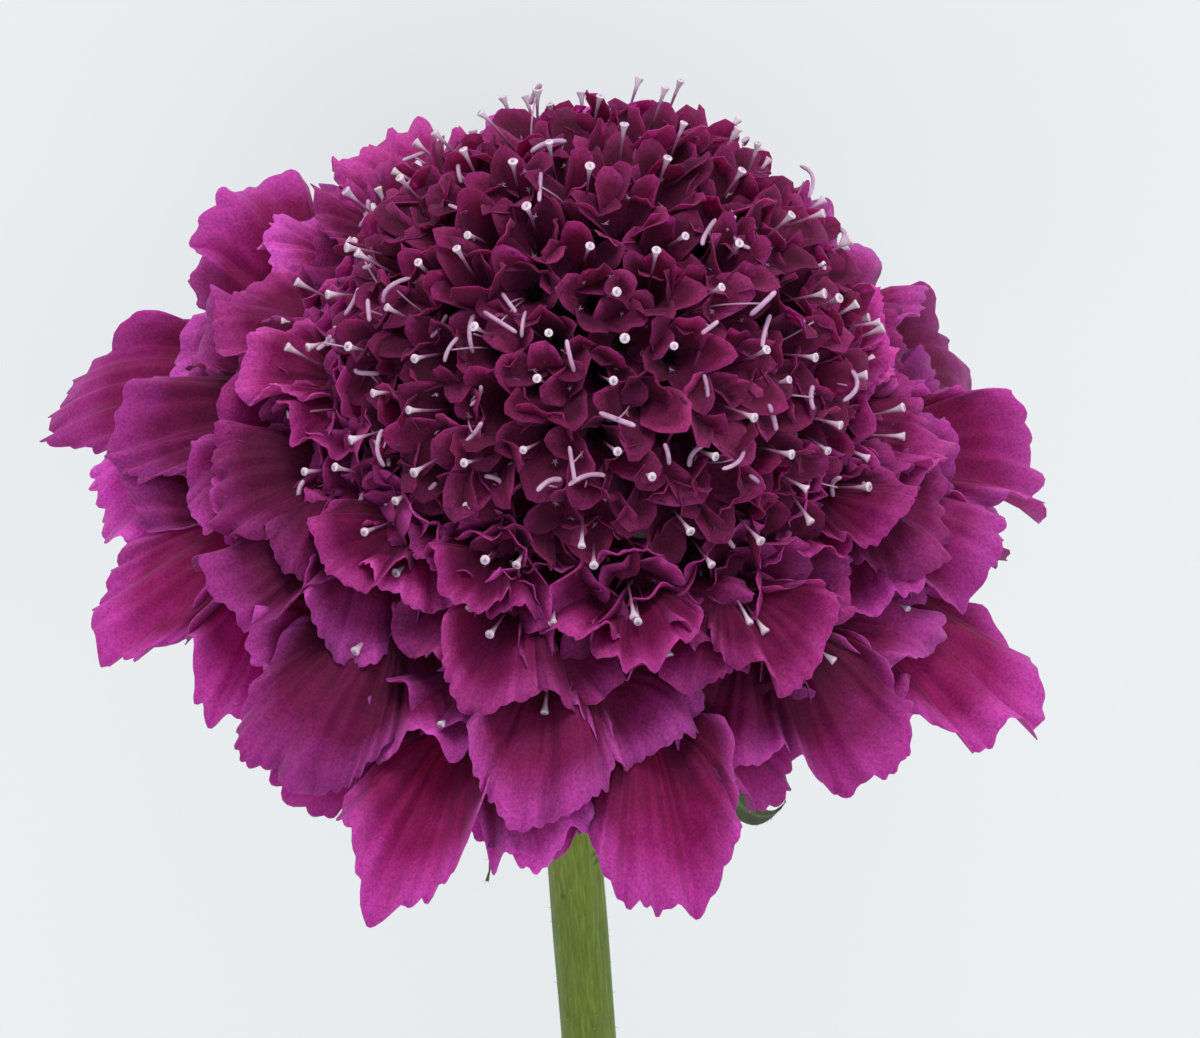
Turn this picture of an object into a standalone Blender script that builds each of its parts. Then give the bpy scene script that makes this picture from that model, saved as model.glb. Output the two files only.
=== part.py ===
"""A cut scabiosa bloom on its stem, lying on its side on a flat surface.

The head is worked out upright, about its own axis: the neck, where the stem ends, is at the
origin and the apex is up +Z. HEAD_PLACE then lays it down. In the finished part the surface is
the plane Z = 0, the bloom faces -Y and the stem runs back towards +Y. All lengths are in metres.
"""

import math
import random
from types import SimpleNamespace

import bmesh
import bpy
from mathutils import Matrix, Vector

MM = 0.001

# The bloom's head, with heights measured from the neck along its axis
WAIST_HEIGHT = 13 * MM
DOME_RADIUS = 13 * MM
CORE_RADIUS = 9 * MM
CORE_FOOT_RADIUS = 5.5 * MM
CORE_FOOT_HEIGHT = 0.4 * MM
DISC_COUNT = 70
MIDDLE_COUNT = 15
RAY_COUNT = 20
GOLDEN_ANGLE = math.pi * (3 - math.sqrt(5))
HEAD_SEED = 407
TURN_JITTER = math.radians(3)

# A floret: a funnel with five lobes, and one style that stands out of its throat
MOUTH_RADIUS = 1.1 * MM
THROAT_DEPTH = 1.3 * MM
ROOT_RADIUS = 0.7 * MM
ROOT_DEPTH = 7 * MM
PETAL_THICKNESS = 0.6 * MM
STYLE_RADIUS = 0.26 * MM
STIGMA_RADIUS = 0.5 * MM
LOBE_TURNS = [math.radians(t) for t in (0, 72, 144, 216, 288)]
RAY_ROD_SIDES = 3
STYLE_SIDES = 3

# A ray floret: three wide lobes draped on one of a set of nested bells, two short lobes that stand
WIDE_LOBES = {0: 0, 1: math.radians(50), 4: math.radians(-50)}
WIDE_COLUMNS = (-1, -0.42, 0.42)
SHORT_COLUMNS = (-1, 0)
LOBE_SWEEP = math.radians(128)
CLAW_SHARE = 0.35
BELL_REACH = 32 * MM
WAVES_ROUND = 23
WAVE_DRIFT = 0.35
WAVE_HEIGHT = 0.75 * MM
WAVE_START = 6 * MM

# The green bracts below the head, on a collar round the top of the stem
BRACT_COUNT = 16
BRACT_SEED = 91
BRACT_LENGTHS = (21.5 * MM, 14 * MM)
BRACT_WIDTH = 3.4 * MM
BRACT_DROOP = math.radians(36)
BRACT_BEND = math.radians(14)
BRACT_ROOT_RADIUS = 3.6 * MM
COLLAR_RADIUS = 5 * MM
COLLAR_HEIGHT = 1.6 * MM
SEAT_GAP = 0.3 * MM

# The stem
STEM_RADIUS = 1.85 * MM
NECK_RADIUS = 2.4 * MM
NECK_LENGTH = 9 * MM
BEND_LENGTH = 14 * MM
STEM_LENGTH = 150 * MM
STEM_POINTS = 25
STEM_YAW = math.radians(2.8)

# How the cut flower lies: the angles are of the axis above the surface
NECK_TILT = math.radians(14)
NECK_HEIGHT = 27 * MM
HEAD_ROLL = math.radians(94)
FLAT_DEPTH = 0.12 * MM
HEAD_LEAN = math.radians(12)
LEAN_AXIS_TILT = math.radians(54)
HEAD_PLACE = (
    Matrix.Translation((0, 0, NECK_HEIGHT))
    @ Matrix.Rotation(-HEAD_LEAN, 4, Vector((0, -math.cos(LEAN_AXIS_TILT), math.sin(LEAN_AXIS_TILT))))
    @ Matrix.Rotation(math.pi / 2 - NECK_TILT, 4, "X")
    @ Matrix.Rotation(HEAD_ROLL, 4, "Z")
)

# Finishes as (red, green, blue), roughness
PETAL_FINISH = ((0.26, 0.02, 0.16), 0.7)
BRACT_FINISH = ((0.11, 0.17, 0.07), 0.75)
STEM_FINISH = ((0.15, 0.24, 0.04), 0.55)


def smooth(x):
    """Rises from 0 to 1 between x = 0 and x = 1, with no slope at either end."""
    x = min(max(x, 0.0), 1.0)
    return x * x * (3 - 2 * x)


def mix(a, b, share):
    return a + (b - a) * share


def floret(index):
    """Floret number index, counted outwards from the apex on one golden-angle spiral."""
    draw = random.Random(HEAD_SEED + index)
    turn = index * GOLDEN_ANGLE + draw.uniform(-TURN_JITTER, TURN_JITTER)
    below = index - DISC_COUNT
    wide = below >= MIDDLE_COUNT
    share = 0.0
    if below < 0:
        polar = math.acos(1 - (index + 0.5) / DISC_COUNT)
        elevation = math.pi / 2 - polar
        radius = DOME_RADIUS * math.sin(polar)
        height = WAIST_HEIGHT + DOME_RADIUS * math.cos(polar)
        grow = (polar / (math.pi / 2)) ** 3
        length, width, flare = mix(3.2, 3.8, grow), 2.8, mix(29, 34, grow)
        style, root = draw.uniform(3.6, 4.4), 7
    elif not wide:
        share = (below + 0.5) / MIDDLE_COUNT
        elevation = math.radians(mix(0, 16, share))
        radius = mix(13.4, 14, share) * MM
        height = mix(WAIST_HEIGHT - 1 * MM, 8.6 * MM, share)
        length, width, flare = mix(3.8, 4.4, share), mix(3.0, 3.6, share), mix(30, 36, share)
        style, root = draw.uniform(4.6, 5.4), 7.5
    else:
        share = (below - MIDDLE_COUNT + 0.5) / RAY_COUNT
        elevation = math.radians(mix(16, 2, share))
        radius = mix(14.2, 17, share) * MM
        height = mix(7.6, 2.2, share) * MM
        length, width, flare = 4, 3.2, 30
        style, root = draw.uniform(6, 7), mix(7.5, 10.5, share)
    level = Vector((math.cos(turn), math.sin(turn), 0))
    axis = level * math.cos(elevation) + Vector((0, 0, math.sin(elevation)))
    away = level * math.sin(elevation) - Vector((0, 0, math.cos(elevation)))
    plant = SimpleNamespace(
        index=index,
        wide=wide,
        share=share,
        level=level,
        tangent=Vector((-level.y, level.x, 0)),
        throat=level * radius + Vector((0, 0, height)),
        radius=radius,
        axis=axis,
        away=away,
        side=axis.cross(away),
        style=style * MM,
        root=root * MM,
        lobes=[],
    )
    for number, around in enumerate(LOBE_TURNS):
        lobe = SimpleNamespace(
            around=around + draw.uniform(-0.1, 0.1),
            length=length * MM * draw.uniform(0.9, 1.08),
            width=width * MM * draw.uniform(0.92, 1.08),
            flare=math.radians(flare + draw.uniform(-5, 5)),
            lean=0,
        )
        if wide and number in WIDE_LOBES:
            centre = number == 0
            lobe.length = mix(13.6, 18.4, share) * (1 if centre else 0.88) * MM * draw.uniform(0.92, 1.05)
            lobe.width = mix(8.4, 10.2, share) * (1 if centre else 0.92) * MM * draw.uniform(0.92, 1.05)
            lobe.lean = WIDE_LOBES[number] + draw.uniform(-0.08, 0.08)
        plant.lobes.append(lobe)
    return plant


def around_axis(plant, turn):
    """The direction square to a floret's axis at that turn from its outer side."""
    return plant.away * math.cos(turn) + plant.side * math.sin(turn)


def bell_height(share, start, radius):
    """Height of the bell that a ray floret's wide lobes lie on, start being its throat's radius."""
    first = math.tan(math.radians(mix(4, -8, share)))
    last = math.tan(math.radians(mix(-14, -44, share)))
    run = radius - start
    return run * first + (last - first) * run * run / (2 * (BELL_REACH - start))


def standing_point(plant, lobe, along, across):
    """A point of a lobe that stands round the mouth, along it and across it from its midline."""
    out = around_axis(plant, lobe.around)
    rise = plant.axis * math.cos(lobe.flare) + out * math.sin(lobe.flare)
    foot = plant.throat + out * MOUTH_RADIUS * 0.8
    return foot + rise * lobe.length * along + plant.axis.cross(out) * across


def draped_point(plant, lobe, along, across):
    """A point of a wide lobe: set out in plan from the throat, then laid on the floret's bell."""
    forward = plant.level * math.cos(lobe.lean) + plant.tangent * math.sin(lobe.lean)
    sideways = plant.tangent * math.cos(lobe.lean) - plant.level * math.sin(lobe.lean)
    point = plant.throat + forward * lobe.length * along + sideways * across
    radius = point.xy.length
    turn = math.atan2(point.y, point.x)
    wave = math.sin(WAVES_ROUND * turn + WAVE_DRIFT * plant.index)
    lift = WAVE_HEIGHT * wave * smooth((radius - plant.radius) / WAVE_START)
    point.z += bell_height(plant.share, plant.radius, radius) + lift
    return point


def lobe_point(plant, number, across, ring):
    """A point of lobe number, on the ring from the throat (0) to the margin (1), with across from
    -1 at one notch through 0 at the tip to 1 at the other notch."""
    lobe = plant.lobes[number % len(plant.lobes)]
    turn = across * LOBE_SWEEP
    along = ring * (1 + math.cos(turn)) / 2
    claw = mix(CLAW_SHARE, 1, smooth(along / 0.6))
    offset = ring * math.sin(turn) * lobe.width / 2 * claw
    place = draped_point if lobe.lean or (plant.wide and number == 0) else standing_point
    return place(plant, lobe, along, offset)


def notch_point(plant, number, ring):
    """The point between lobe number and the one before it."""
    here = lobe_point(plant, number, -1, ring)
    return (here + lobe_point(plant, number - 1, 1, ring)) / 2


def object_from(bm, name):
    mesh = bpy.data.meshes.new(name)
    bm.to_mesh(mesh)
    bm.free()
    made = bpy.data.objects.new(name, mesh)
    bpy.context.scene.collection.objects.link(made)
    return made


def funnel(plant, columns):
    """A small floret's funnel: a cone from its root in the core to a rim cut into five lobes, with
    a hollow throat. columns are the places across each lobe."""
    segments = len(plant.lobes) * len(columns)
    bm = bmesh.new()
    bmesh.ops.create_cone(
        bm, cap_ends=True, cap_tris=True, segments=segments, radius1=1, radius2=1, depth=2
    )
    for vert in bm.verts:
        if vert.co.z < 0:
            vert.co = plant.throat - plant.axis * plant.root
        elif vert.co.xy.length < 0.5:
            vert.co = plant.throat - plant.axis * THROAT_DEPTH
        else:
            place = round(math.atan2(vert.co.y, vert.co.x) / (2 * math.pi) * segments) % segments
            number, column = divmod(place, len(columns))
            across = columns[column]
            if across == -1:
                vert.co = notch_point(plant, number, 1)
            else:
                vert.co = lobe_point(plant, number, across, 1)
    bmesh.ops.remove_doubles(bm, verts=bm.verts, dist=0.001 * MM)
    return object_from(bm, "funnel")


def corolla(plant):
    """A ray floret's five lobes as one thin waved sheet, a grid wrapped round the throat."""
    places = []
    for number in range(len(plant.lobes)):
        columns = WIDE_COLUMNS if number in WIDE_LOBES else SHORT_COLUMNS
        places += [(number, across) for across in columns]
    rings = 2
    bm = bmesh.new()
    bmesh.ops.create_grid(bm, x_segments=len(places), y_segments=rings, size=0.5)
    for vert in bm.verts:
        number, across = places[round((vert.co.x + 0.5) * len(places)) % len(places)]
        ring = vert.co.y + 0.5
        if ring < 0.01:
            vert.co = plant.throat - plant.axis * THROAT_DEPTH
        elif across == -1:
            vert.co = notch_point(plant, number, ring)
        else:
            vert.co = lobe_point(plant, number, across, ring)
    bmesh.ops.remove_doubles(bm, verts=bm.verts, dist=0.001 * MM)
    bmesh.ops.triangulate(bm, faces=bm.faces, quad_method="FIXED")
    made = object_from(bm, "corolla")
    shell = made.modifiers.new("Thickness", "SOLIDIFY")
    shell.thickness = PETAL_THICKNESS
    shell.offset = 0
    return made


def rod(name, start, way, length, sides, radii):
    """A tapered rod from start along way."""
    bm = bmesh.new()
    bmesh.ops.create_cone(
        bm, cap_ends=True, segments=sides, radius1=radii[0], radius2=radii[1], depth=length
    )
    turned = way.to_track_quat("Z", "Y").to_matrix().to_4x4()
    bm.transform(Matrix.Translation(start + way * length / 2) @ turned)
    return object_from(bm, name)


def style(plant):
    """The style, a slim three-sided club that ends in the flat stigma."""
    start = plant.throat - plant.axis * THROAT_DEPTH * 1.4
    length = plant.style + THROAT_DEPTH * 1.4
    return rod("style", start, plant.axis, length, STYLE_SIDES, (STYLE_RADIUS, STIGMA_RADIUS))


def tube_and_style(plant):
    """A ray floret's tube and style as one rod, from its root in the core to its stigma."""
    start = plant.throat - plant.axis * plant.root
    length = plant.root + plant.style
    return rod("rod", start, plant.axis, length, RAY_ROD_SIDES, (ROOT_RADIUS, STIGMA_RADIUS))


def turned_solid(name, profile, steps):
    """A solid turned about Z from (radius, height) points, down the outside. They start and end
    on the axis, or at the same point."""
    bm = bmesh.new()
    places = {point: bm.verts.new((point[0], 0, point[1])) for point in profile}
    for a, b in zip(profile, profile[1:]):
        bm.edges.new((places[a], places[b]))
    made = object_from(bm, name)
    screw = made.modifiers.new("Turn", "SCREW")
    screw.steps = screw.render_steps = steps
    screw.use_merge_vertices = True
    screw.merge_threshold = 0.01 * MM
    return made


def receptacle():
    """The core that the florets stand on: a dome above the waist, narrowing to the neck."""
    profile = [
        (CORE_RADIUS * math.sin(a), WAIST_HEIGHT + CORE_RADIUS * math.cos(a))
        for a in (math.radians(22.5 * step) for step in range(4))
    ]
    profile += [
        (CORE_RADIUS, WAIST_HEIGHT),
        (CORE_RADIUS, WAIST_HEIGHT * 0.4),
        (CORE_RADIUS * 0.94, WAIST_HEIGHT * 0.14),
        (CORE_FOOT_RADIUS, CORE_FOOT_HEIGHT),
        (0, CORE_FOOT_HEIGHT),
    ]
    return turned_solid("flower_head", profile, 12)


def keep_outer_shell(mesh):
    """Drops all but the largest of a mesh's separate shells, which fills sealed hollows."""
    bm = bmesh.new()
    bm.from_mesh(mesh)
    left = set(bm.faces)
    shells = []
    while left:
        shell, front = set(), [left.pop()]
        while front:
            face = front.pop()
            shell.add(face)
            near = {other for edge in face.edges for other in edge.link_faces} & left
            left -= near
            front += near
        shells.append(shell)
    largest = max(shells, key=len)
    bmesh.ops.delete(bm, geom=[face for face in bm.faces if face not in largest], context="FACES")
    bm.to_mesh(mesh)
    bm.free()


def combine(base, others, operation):
    """Applies one Boolean of the others, as a collection, to the base, and removes them."""
    group = bpy.data.collections.new("operands")
    bpy.context.scene.collection.children.link(group)
    for other in others:
        group.objects.link(other)
        bpy.context.scene.collection.objects.unlink(other)
    boolean = base.modifiers.new("Combine", "BOOLEAN")
    boolean.operation = operation
    boolean.operand_type = "COLLECTION"
    boolean.collection = group
    boolean.solver = "MANIFOLD"
    graph = bpy.context.evaluated_depsgraph_get()
    mesh = bpy.data.meshes.new_from_object(base.evaluated_get(graph))
    keep_outer_shell(mesh)
    base.modifiers.clear()
    base.data = mesh
    for other in others:
        bpy.data.objects.remove(other)
    bpy.data.collections.remove(group)


def make_flower_head():
    parts = []
    for index in range(DISC_COUNT + MIDDLE_COUNT + RAY_COUNT):
        plant = floret(index)
        if plant.wide:
            parts.append(corolla(plant))
            parts.append(tube_and_style(plant))
        else:
            parts.append(funnel(plant, (-1, 0) if index < DISC_COUNT else (-1, -0.4, 0.4)))
            parts.append(style(plant))
    head = receptacle()
    combine(head, parts, "UNION")
    head.matrix_world = HEAD_PLACE
    return head


def bract(index):
    """One narrow bract: a pointed blade that leaves the collar and bends down from the head."""
    draw = random.Random(BRACT_SEED + index)
    turn = (index + draw.uniform(-0.2, 0.2)) / BRACT_COUNT * 2 * math.pi
    length = BRACT_LENGTHS[index % 2] * draw.uniform(0.93, 1.05)
    droop = BRACT_DROOP + draw.uniform(-0.04, 0.04)
    level = Vector((math.cos(turn), math.sin(turn), 0))
    across_way = Vector((-level.y, level.x, 0))
    bm = bmesh.new()
    bmesh.ops.create_grid(bm, x_segments=4, y_segments=2, size=0.5)
    for vert in bm.verts:
        along = vert.co.x + 0.5
        fall = droop + BRACT_BEND * (along - 0.5)
        width = BRACT_WIDTH * (0.55 + 0.9 * along - 1.25 * along * along)
        middle = level * (BRACT_ROOT_RADIUS + math.cos(fall) * length * along)
        middle.z = -SEAT_GAP - COLLAR_HEIGHT / 2 - math.sin(fall) * length * along
        vert.co = middle + across_way * vert.co.y * width
    bmesh.ops.triangulate(bm, faces=bm.faces, quad_method="FIXED")
    made = object_from(bm, "bract")
    shell = made.modifiers.new("Thickness", "SOLIDIFY")
    shell.thickness = PETAL_THICKNESS
    shell.offset = 0
    return made


def make_involucre():
    top = CORE_FOOT_HEIGHT - SEAT_GAP
    inside = NECK_RADIUS + SEAT_GAP
    ring = [
        (inside, top),
        (COLLAR_RADIUS, top),
        (COLLAR_RADIUS, top - COLLAR_HEIGHT),
        (inside, top - COLLAR_HEIGHT),
        (inside, top),
    ]
    collar = turned_solid("involucre", ring, 16)
    combine(collar, [bract(index) for index in range(BRACT_COUNT)], "UNION")
    collar.matrix_world = HEAD_PLACE
    return collar


def stem_line():
    """The stem's middle line. It leaves the neck on the head's axis, bends into its own way within
    BEND_LENGTH, and eases down until its cut end lies on the surface."""
    points = [HEAD_PLACE @ Vector((0, 0, CORE_FOOT_HEIGHT - SEAT_GAP))]
    from_head = -(HEAD_PLACE.to_3x3() @ Vector((0, 0, 1)))
    fall = NECK_HEIGHT - STEM_RADIUS + FLAT_DEPTH
    end_tilt = 2 * math.asin(fall / STEM_LENGTH) - NECK_TILT
    step = STEM_LENGTH / (STEM_POINTS - 1)
    for number in range(STEM_POINTS - 1):
        share = (number + 0.5) / (STEM_POINTS - 1)
        tilt = mix(NECK_TILT, end_tilt, share)
        way = Vector((-math.sin(STEM_YAW), math.cos(STEM_YAW), 0)) * math.cos(tilt)
        way.z = -math.sin(tilt)
        bend = smooth(share * STEM_LENGTH / BEND_LENGTH)
        points.append(points[-1] + from_head.lerp(way, bend).normalized() * step)
    too_high = points[-1].z - (STEM_RADIUS - FLAT_DEPTH)
    for number, point in enumerate(points):
        point.z -= too_high * (number / (STEM_POINTS - 1)) ** 2
    return points


def make_stem():
    """A round stalk, swollen a little where it meets the head."""
    curve = bpy.data.curves.new("stem", "CURVE")
    curve.dimensions = "3D"
    curve.bevel_depth = STEM_RADIUS
    curve.bevel_resolution = 4
    curve.use_fill_caps = True
    line = curve.splines.new("POLY")
    line.points.add(STEM_POINTS - 1)
    swell = NECK_RADIUS / STEM_RADIUS - 1
    for number, place in enumerate(stem_line()):
        run = number / (STEM_POINTS - 1) * STEM_LENGTH
        line.points[number].co = (*place, 1)
        line.points[number].radius = 1 + swell * (1 - smooth(run / NECK_LENGTH))
    made = bpy.data.objects.new("stem", curve)
    bpy.context.scene.collection.objects.link(made)
    graph = bpy.context.evaluated_depsgraph_get()
    mesh = bpy.data.meshes.new_from_object(made.evaluated_get(graph))
    bpy.data.objects.remove(made)
    bm = bmesh.new()
    bm.from_mesh(mesh)
    bmesh.ops.remove_doubles(bm, verts=bm.verts, dist=0.01 * MM)
    return object_from(bm, "stem")


def cut_flat_below(made):
    """Takes off what is below the surface, which leaves the flats that the flower rests on."""
    bm = bmesh.new()
    bmesh.ops.create_cube(bm, size=1)
    bm.transform(Matrix.Translation((0, STEM_LENGTH / 2, -0.05)) @ Matrix.Diagonal((0.2, 0.4, 0.1, 1)))
    combine(made, [object_from(bm, "below")], "DIFFERENCE")


def finish(made, look):
    colour, roughness = look
    material = bpy.data.materials.new(made.name)
    material.use_nodes = True
    shader = material.node_tree.nodes["Principled BSDF"]
    shader.inputs["Base Color"].default_value = (*colour, 1)
    shader.inputs["Roughness"].default_value = roughness
    made.data.materials.clear()
    made.data.materials.append(material)


def centre_on_origin(objects):
    """Moves everything so that the middle of the bounding box is over the origin."""
    corners = [made.matrix_world @ vert.co for made in objects for vert in made.data.vertices]
    middle = Vector()
    for axis in (0, 1):
        values = [corner[axis] for corner in corners]
        middle[axis] = (min(values) + max(values)) / 2
    for made in objects:
        made.matrix_world = Matrix.Translation(-middle) @ made.matrix_world


def clear_the_scene():
    for old in list(bpy.data.objects):
        bpy.data.objects.remove(old)


def main():
    clear_the_scene()
    flower = bpy.data.collections.new("scabiosa_flower")
    bpy.context.scene.collection.children.link(flower)
    nodes = (
        (make_flower_head(), PETAL_FINISH),
        (make_involucre(), BRACT_FINISH),
        (make_stem(), STEM_FINISH),
    )
    for made, look in nodes:
        bpy.context.view_layer.update()
        cut_flat_below(made)
        finish(made, look)
        flower.objects.link(made)
        bpy.context.scene.collection.objects.unlink(made)
    centre_on_origin([made for made, look in nodes])


main()
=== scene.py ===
"""The looks of a cut double scabiosa that lies on a pale surface.

The flower head is worked out upright about its own axis, as in the CAD: the neck at the origin and
the apex up +Z. The frame gives where the neck is and how the stem lies. Lengths are in metres. A
named length without MM is in millimetres, and is multiplied by MM where it is used.
"""

import math
import random
from types import SimpleNamespace

import bpy
import numpy as np
from mathutils import Matrix, Vector


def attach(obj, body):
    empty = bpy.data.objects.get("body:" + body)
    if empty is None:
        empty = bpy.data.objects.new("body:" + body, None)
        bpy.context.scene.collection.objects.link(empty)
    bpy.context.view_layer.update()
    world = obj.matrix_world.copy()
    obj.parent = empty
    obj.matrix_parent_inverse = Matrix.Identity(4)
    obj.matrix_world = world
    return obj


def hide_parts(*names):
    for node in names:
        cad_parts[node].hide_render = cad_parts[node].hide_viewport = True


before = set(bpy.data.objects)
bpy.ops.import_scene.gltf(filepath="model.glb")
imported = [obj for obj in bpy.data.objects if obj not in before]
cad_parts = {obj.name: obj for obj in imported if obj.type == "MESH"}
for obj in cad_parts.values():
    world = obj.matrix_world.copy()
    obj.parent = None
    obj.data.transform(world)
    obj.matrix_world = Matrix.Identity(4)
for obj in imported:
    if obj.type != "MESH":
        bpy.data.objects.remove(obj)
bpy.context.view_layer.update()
MM = 0.001

# The head's shape, which the CAD shares
WAIST_HEIGHT = 13 * MM
DOME_RADIUS = 13 * MM
FIRST_RAY = 85
GOLDEN_ANGLE = math.pi * (3 - math.sqrt(5))
HEAD_SEED = 407
TURN_JITTER = math.radians(3)
THROAT_DEPTH = 1.3 * MM
WIDE_LOBES = {0: 0, 1: math.radians(50), 4: math.radians(-50)}
LOBE_TURNS = [math.radians(t) for t in (0, 72, 144, 216, 288)]
CLAW_SHARE = 0.35
BELL_REACH = 32 * MM
BELL_STARTS = (4, -8)
BELL_ENDS = (-14, -44)
WAVES_ROUND = 23
WAVE_DRIFT = 0.35
WAVE_HEIGHT = 0.75 * MM
WAVE_START = 6 * MM
NECK_TILT = math.radians(14)
HEAD_ROLL = math.radians(94)
HEAD_LEAN = math.radians(12)
LEAN_AXIS_TILT = math.radians(54)

# The bracts and the stem, which the CAD shares
BRACT_COUNT = 16
BRACT_SEED = 91
BRACT_LENGTHS = (21.5 * MM, 14 * MM)
BRACT_WIDTH = 3.4 * MM
BRACT_DROOP = math.radians(36)
BRACT_BEND = math.radians(14)
BRACT_ROOT_RADIUS = 3.6 * MM
COLLAR_RADIUS = 5 * MM
COLLAR_HEIGHT = 1.6 * MM
STEM_RADIUS = 1.85 * MM
NECK_RADIUS = 2.4 * MM
NECK_LENGTH = 9 * MM

# How far above the neck's middle the stem's first ring is
STEM_TOP = 0.1 * MM

# The kinds of floret. Elevations and flares are in degrees, curls and cups in radians a metre and
# other angles in radians. A pair goes from a kind's first floret to its last or from the least draw
# to the most. For curls, bends and tips it is a mean and a spread. inner and outer are the length,
# width and flare of the lobes on a floret's inner and outer side.
RAYS = SimpleNamespace(
    count=20,
    elevations=(16, 2),
    radii=(14.2, 17),
    heights=(7.6, 2.2),
    styles=(6, 7),
    roots=(7.5, 10.5),
    lengths=(13.6, 18.4),
    widths=(8.4, 10.2),
    side_width=0.92,
    length_draw=(0.92, 1.05),
    width_draw=(0.92, 1.05),
    lean_draw=0.08,
    small_length=4,
    small_width=3.2,
    small_flare=30,
    widened=1.06,
    curls=(-10, 85),
    swells=(0.04, 0.1),
    ruffles=(0.012, 0.035),
    bends=((0.03, 0.09), (0.02, 0.26)),
    tips=(0.2, 0.45),
    tip_limits=(-0.7, 0.9),
    rolled_share=0.45,
    rolled_curls=(190, 340),
)
SECONDS = SimpleNamespace(
    count=18,
    first_index=300,
    seed=HEAD_SEED + 3000,
    turn_jitter=0.12,
    elevations=(26, 14),
    elevation_jitter=0.05,
    radii=(13.4, 14.6),
    heights=(11.6, 8.2),
    bells=(-0.5, -0.05),
    styles=(5.2, 6.4),
    root=7,
    lengths=(7.4, 12.2),
    widths=(6.2, 8.8),
    side_width=1,
    length_draw=(0.88, 1.1),
    width_draw=(0.9, 1.08),
    lean_draw=0.1,
    small_lengths=(4, 4.8),
    small_widths=(3.3, 4),
    curls=(20, 110),
    swells=(0.04, 0.1),
    ruffles=(0.015, 0.04),
    bends=((0, 0.12), (0.05, 0.25)),
    tips=(0.35, 0.5),
    tip_limits=(-0.6, 1.2),
)
MIDDLES = SimpleNamespace(
    count=30,
    seed=HEAD_SEED + 2000,
    tilt=0.08,
    elevations=(2, 17),
    radii=(13.2, 14.2),
    heights=(12.4, 8),
    styles=(4.8, 6),
    root=6,
    inner=(4, 3.5, 40),
    outer=((5.8, 8.2), (5.2, 7.2), (62, 74)),
    cup=120,
    blunt=0.92,
)
DISCS = SimpleNamespace(
    count=130,
    seed=HEAD_SEED + 1000,
    tilt=0.11,
    polar_jitter=0.025,
    sinks=(-0.7, 0.5),
    bare_every=6,
    styles=(3.9, 5.2),
    root=5,
    inner=(3.7, 2.4, 26),
    outer=((4.1, 5.2), (2.6, 3.8), (43, 62)),
    cup=280,
    blunt=1.05,
)

# A lobe's form. Swell, ruffle and crease are shares of its width
BROAD_FORM = {"crease": 0.011, "blunt": 1, "full": 0.66}
SMALL_FORM = {"swell": 0.05, "ruffle": 0.012, "crease": 0.006, "full": 0.85, "wide": False}
SIDE_LENGTH = 0.88
LOBE_LIFTS = {0: 0.55, 1: 0, 4: -0.55}
LOBE_END = math.radians(172)
CLAW_END = 0.46
ROUND_TIP = 0.88
PETAL_THICKNESS = 0.13 * MM
MARGIN_THINNING = 0.45
WIDE_FOOT = 1.5 * MM
SMALL_FOOT = 0.45 * MM

# The scallops of a lobe's margin, as (how many, how deep)
WIDE_SCALLOPS = (31, 0.036)
SMALL_SCALLOPS = (7, 0.018)

# Columns and rows of a lobe's grid
RAY_GRIDS = {"wide": (133, 8), "small": (19, 5)}
SECOND_GRIDS = {"wide": (97, 7), "small": (19, 5)}
MIDDLE_GRIDS = {"small": (31, 6)}
DISC_GRIDS = {"small": (15, 5)}

# What stands in the throats
TUBE_RADII = (0.45, 1)
STYLE_STEPS = (0, 0.25, 0.5, 0.7, 0.8, 0.87, 0.92, 0.955, 0.98, 0.993, 1, 0.9999, 0.9998)
STALK_RADII = (0.15, 0.1, 0.08, 0.075, 0.085, 0.11)
STIGMA_FORM = (0.48, 0.68, 0.9, 1, 0.92, 0.5, 0.04)
STIGMA_RADII = (0.25, 0.32)
STYLE_BEND = 0.1
STAMEN_CHANCE = 0.38
FILAMENT_REACHES = (2.4, 4.3)
FILAMENT_LEANS = (0.2, 0.75)
FILAMENT_RADIUS = 0.055 * MM
ANTHER_LENGTHS = (1.3, 2.4)
ANTHER_RADII = (0.12, 0.16)
TUFT_CHANCE = 0.5
TUFT_HAIRS = (5, 11)
TUFT_RADIUS = 1.3
TUFT_HEIGHTS = (0.9, 2.3)
TUFT_HAIR_LENGTHS = (0.12, 0.3)
TUFT_HAIR_RADIUS = 0.05 * MM

# Hairs, in general and on the green parts
HAIR_BEND = 0.05
FINE_HAIR_RADIUS = 0.02 * MM
BRACT_HAIRS = 70
BRACT_HAIR_LENGTHS = (0.2, 0.5)
BRACT_HAIR_BEND = 0.08
STEM_HAIRS = 500
STEM_HAIR_SEED = 17
STEM_HAIR_LENGTHS = (0.12, 0.4)

# The receptacle, the bracts' own relief and the collar
CORE_RADIUS = 10 * MM
CORE_RISE = 11 * MM
CORE_MIDDLE = WAIST_HEIGHT - 1 * MM
BRACT_THICKNESS = 0.34 * MM
BRACT_HOLLOW = 0.14
BRACT_MIDRIB = 0.08 * MM
BRACT_WARP = 0.12 * MM
BRACT_CURLS = (0.2, 1)
BRACT_SEAT = 0.2 * MM
COLLAR_GAP = 0.15 * MM

# One bract's tip hooks round sideways: its number, how far it turns along it and how much longer
# and wider it is
HOOKED_BRACT = 2
HOOK_ANGLES = (0, 0, 0, 0, 0, 0.55, 1.9)
HOOK_LENGTH = 1.09
HOOK_WIDTH = 1.4

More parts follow.
